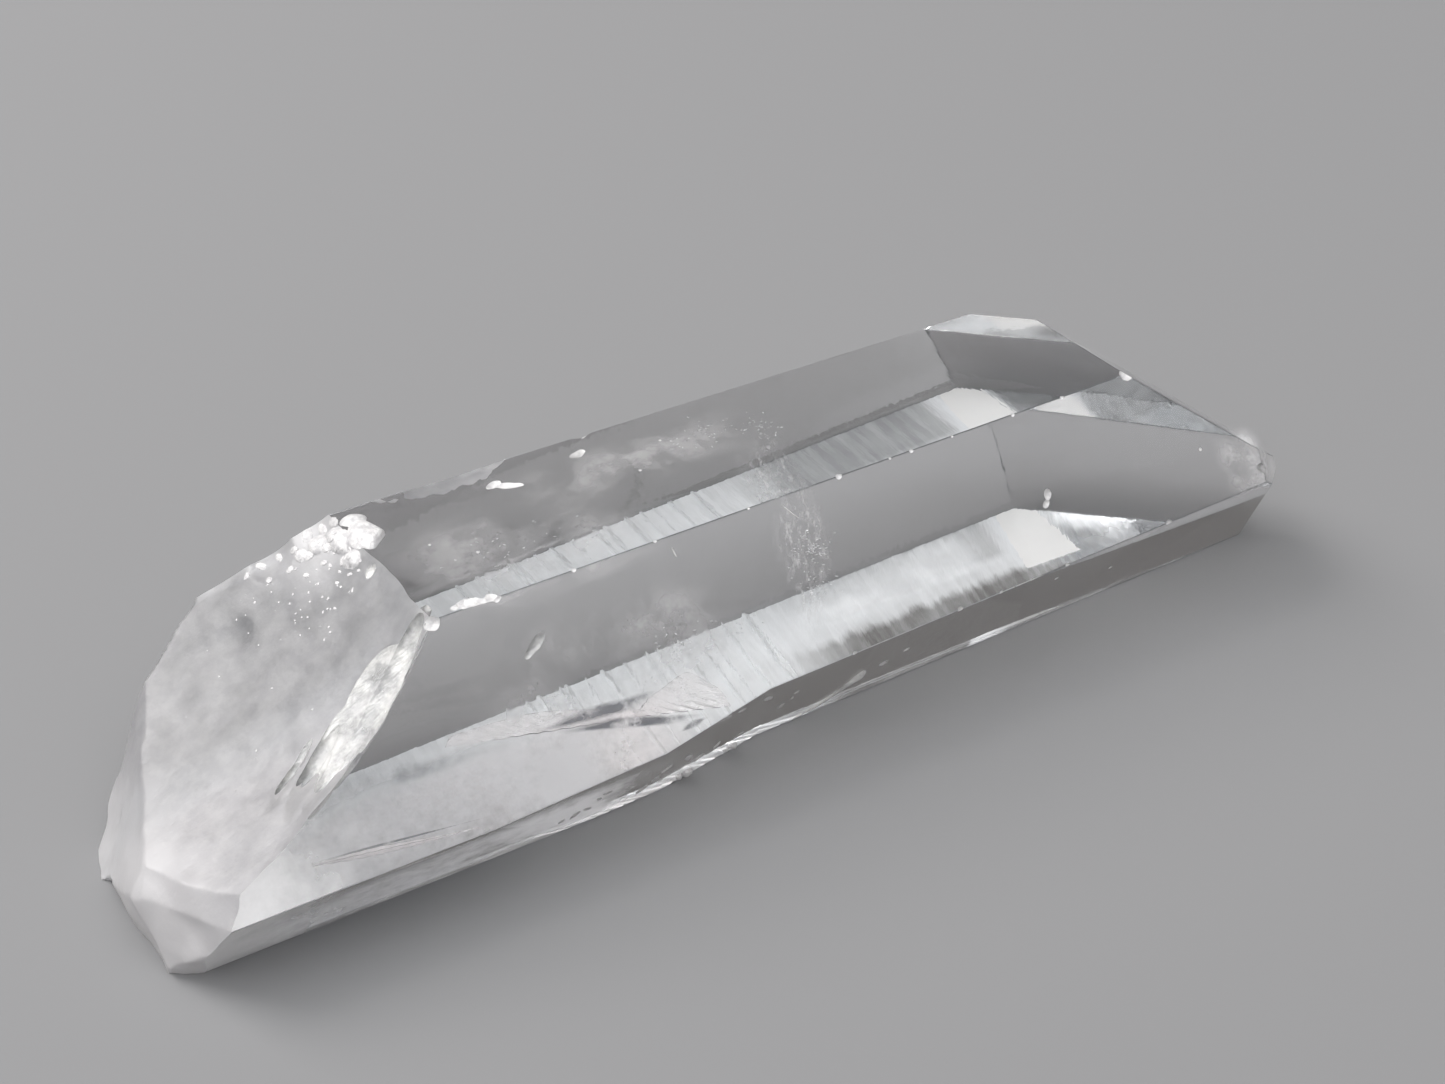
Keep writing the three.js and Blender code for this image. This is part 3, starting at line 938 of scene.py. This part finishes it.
CRUMBS = [  # centre, size
    ((-19.4, 6.0, 14.5), 0.3),
    ((-19.9, 6.5, 14.0), 0.26),
    ((-20.6, 6.9, 13.6), 0.3),
    ((-21.5, 6.9, 13.05), 0.24),
    ((-22.1, 7.7, 12.4), 0.2),
    ((-23.0, 8.1, 11.9), 0.22),
    ((-23.7, 8.1, 11.4), 0.16),
    ((-20.3, 5.1, 13.9), 0.28),
    ((-21.2, 5.8, 13.3), 0.26),
    ((-22.2, 6.2, 12.6), 0.18),
    ((-23.1, 6.9, 11.8), 0.18),
    ((-20.2, 3.6, 13.9), 0.2),
    ((-20.9, 4.6, 13.5), 0.16),
    ((-21.8, 5.0, 12.8), 0.14),
]
PLATES = [  # centre, size
    ((-14.3, -7.75, 2.0), 0.2),
    ((-13.5, -7.8, 2.1), 0.28),
    ((-12.8, -7.9, 2.2), 0.22),
    ((-12.3, -8.3, 3.0), 0.2),
    ((-11.9, -8.6, 3.4), 0.2),
    ((-10.6, -7.8, 2.0), 0.3),
    ((-9.2, -7.45, 1.5), 0.3),
    ((-8.5, -7.8, 2.1), 0.32),
    ((-8.1, -8.3, 3.0), 0.24),
    ((-6.5, -8.15, 2.7), 0.3),
    ((-5.5, -7.6, 1.7), 0.26),
    ((-4.3, -7.7, 2.0), 0.24),
    ((-2.6, -7.2, 1.55), 0.22),
    ((-1.84, -8.79, 5.09), 0.3),
    ((-3.84, -9.13, 5.64), 0.2),
    ((-0.2, -7.6, 3.05), 0.2),
    ((0.3, -7.85, 3.6), 0.14),
    ((0.35, -8.15, 4.3), 0.12),
]
KNOTS = [  # centre, size
    ((-5.9, -6.9, 0.55), 0.42),
    ((-6.4, -6.8, 0.45), 0.26),
    ((-2.6, -6.5, 0.5), 0.36),
    ((-3.05, -6.5, 0.45), 0.24),
]
RIM_GRAINS, STRAY_GRAINS = 80, 20
RIM_GRAIN_SIZES, STRAY_GRAIN_SIZES = (0.04, 0.11), (0.03, 0.08)
UP_SLOPE = Vector((-0.6, 0.1, 0.79))
FRONT_DOWN = face_normal(FRONT_LOWER, 90)
crumb_dice = random.Random(19)


def crumb(centre, half_sizes, towards, fineness=3):
    """A low, uneven lump lying on the surface that a ray from outside meets."""
    bpy.ops.object.select_all(action="DESELECT")
    bpy.ops.mesh.primitive_ico_sphere_add(subdivisions=fineness, radius=1)
    lump_of_quartz = bpy.context.object
    for vertex in lump_of_quartz.data.vertices:
        vertex.co *= crumb_dice.uniform(0.86, 1.1)
    start = TO_METRES @ (Vector(centre) + towards * 3)
    hit, place, normal, _ = crystal.ray_cast(start, -towards)
    place = TO_METRES.inverted() @ place if hit else Vector(centre)
    normal = normal if hit else towards
    spin = Matrix.Rotation(crumb_dice.uniform(0, 3.14), 4, "Z")
    upright = normal.to_track_quat("Z", "Y").to_matrix().to_4x4()
    lump_of_quartz.matrix_world = (
        TO_METRES @ Matrix.Translation(place) @ upright @ spin @ Matrix.Diagonal((*half_sizes, 1))
    )
    return set_in_place(lump_of_quartz)


def crushed_grain(place, size):
    """A tiny crushed grain on the break."""
    return crumb(place, (size * 1.4, size, size * 0.5), UP_SLOPE, 1)


lumps = [crumb(centre, (size * 1.5, size, size * 0.3), UP_SLOPE) for centre, size in CRUMBS]
for _ in range(RIM_GRAINS):
    along, across = crumb_dice.uniform(0.0, 1.0) ** 1.5, crumb_dice.uniform(-1.0, 1.0)
    by_knob = Vector((-19.5, 3.8 + 1.8 * across, 14.2))
    far_down = Vector((-25.0, 4.0 + 4.0 * across, 10.5))
    size = crumb_dice.uniform(*RIM_GRAIN_SIZES) * (1.3 - along)
    lumps.append(crushed_grain(by_knob.lerp(far_down, along), size))
for _ in range(STRAY_GRAINS):
    anywhere = Vector((crumb_dice.uniform(-33, -20), crumb_dice.uniform(-6, 7), 10))
    lumps.append(crushed_grain(anywhere, crumb_dice.uniform(*STRAY_GRAIN_SIZES)))
gathered(lumps, "rim_crumbs", bruised_quartz, 30)
lumps = [crumb(centre, (size * 1.5, size * 0.7, size * 0.2), FRONT_DOWN) for centre, size in PLATES]
lumps += [crumb(centre, (size, size * 0.7, size * 0.7), FRONT_DOWN) for centre, size in KNOTS]
gathered(lumps, "edge_plates", bruised_quartz, 30)


# ---- Floor, light and camera ---------------------------------------------------------
# A plain pale floor under a soft studio sky: a broad light overhead, a low fill from the
# front, and a darker room behind. One large lamp gives the crystal its soft shadow.

bpy.ops.object.select_all(action="DESELECT")
bpy.ops.mesh.primitive_plane_add(size=4, location=(0, 0, -0.00002))
floor = bpy.context.object
floor.name = "floor"
pale_floor = bpy.data.materials.new("pale_floor")
pale_floor.use_nodes = True
pale_floor.node_tree.nodes["Principled BSDF"].inputs["Base Color"].default_value = (0.214, 0.214, 0.219, 1)
pale_floor.node_tree.nodes["Principled BSDF"].inputs["Roughness"].default_value = 0.9
floor.data.materials.append(pale_floor)

lens = bpy.data.cameras.new("camera")
lens.sensor_fit = "HORIZONTAL"
lens.sensor_width = 36.0
lens.lens = 68.72
lens.clip_start = 0.005
lens.clip_end = 20.0
camera = bpy.data.objects.new("camera", lens)
bpy.context.scene.collection.objects.link(camera)
CAMERA_RIGHT = Vector((0.84418, -0.53606, 0.0))
CAMERA_UP = Vector((0.31354, 0.49376, 0.8111))
CAMERA_PLACE = Vector((-0.065536, -0.104593, 0.098399))
camera_turn = Matrix((CAMERA_RIGHT, CAMERA_UP, CAMERA_RIGHT.cross(CAMERA_UP))).transposed()
camera.matrix_world = Matrix.Translation(CAMERA_PLACE) @ camera_turn.to_4x4()
bpy.context.scene.camera = camera

studio = bpy.data.worlds.new("studio")
bpy.context.scene.world = studio
studio.use_nodes = True
sky = studio.node_tree
look_way = sky.nodes.new("ShaderNodeTexCoord").outputs["Generated"]


def glow(aim, spread, strength):
    """A soft patch of light round one direction."""
    dot = sky.nodes.new("ShaderNodeVectorMath")
    dot.operation = "DOT_PRODUCT"
    dot.inputs[1].default_value = Vector(aim).normalized()
    sky.links.new(look_way, dot.inputs[0])
    fade = sky.nodes.new("ShaderNodeMapRange")
    fade.interpolation_type = "SMOOTHSTEP"
    fade.inputs["From Min"].default_value = math.cos(math.radians(spread))
    fade.inputs["From Max"].default_value = math.cos(math.radians(spread * 0.3))
    fade.inputs["To Max"].default_value = strength
    sky.links.new(dot.outputs["Value"], fade.inputs["Value"])
    return fade.outputs["Result"]


SKY_BASE = (0.12, 0.112, 0.105, 1)
SKY_LIGHTS = [  # direction, half angle in degrees, strength
    ((-0.25, -0.25, 1.0), 52, 2.95),
    ((0.41, -0.90, 0.20), 34, 1.0),
    ((-0.9, -0.1, 0.45), 45, 0.4),
]
total = None
for light in SKY_LIGHTS:
    patch = glow(*light)
    if total is not None:
        add = sky.nodes.new("ShaderNodeMath")
        sky.links.new(total, add.inputs[0])
        sky.links.new(patch, add.inputs[1])
        patch = add.outputs["Value"]
    total = patch
blend = sky.nodes.new("ShaderNodeMix")
blend.data_type = "RGBA"
ends = [socket for socket in blend.inputs if socket.type == "RGBA"]
ends[0].default_value, ends[1].default_value = SKY_BASE, (1.0, 1.0, 1.0, 1)
blend.clamp_factor = False
sky.links.new(total, blend.inputs["Factor"])
sky.links.new(
    [socket for socket in blend.outputs if socket.type == "RGBA"][0],
    sky.nodes["Background"].inputs["Color"],
)

softbox = bpy.data.lights.new("softbox", "AREA")
softbox.energy = 2.5
softbox.size = 0.35
softbox.color = (1.0, 0.98, 0.96)
softbox_stand = bpy.data.objects.new("softbox", softbox)
softbox_stand.location = (-0.22, 0.30, 0.42)
softbox_stand.rotation_euler = (-softbox_stand.location).to_track_quat("-Z", "Y").to_euler()
bpy.context.scene.collection.objects.link(softbox_stand)

scene = bpy.context.scene
scene.view_settings.view_transform = "Standard"
scene.cycles.max_bounces = 24
scene.cycles.transmission_bounces = 20
scene.cycles.glossy_bounces = 8
scene.cycles.transparent_max_bounces = 24
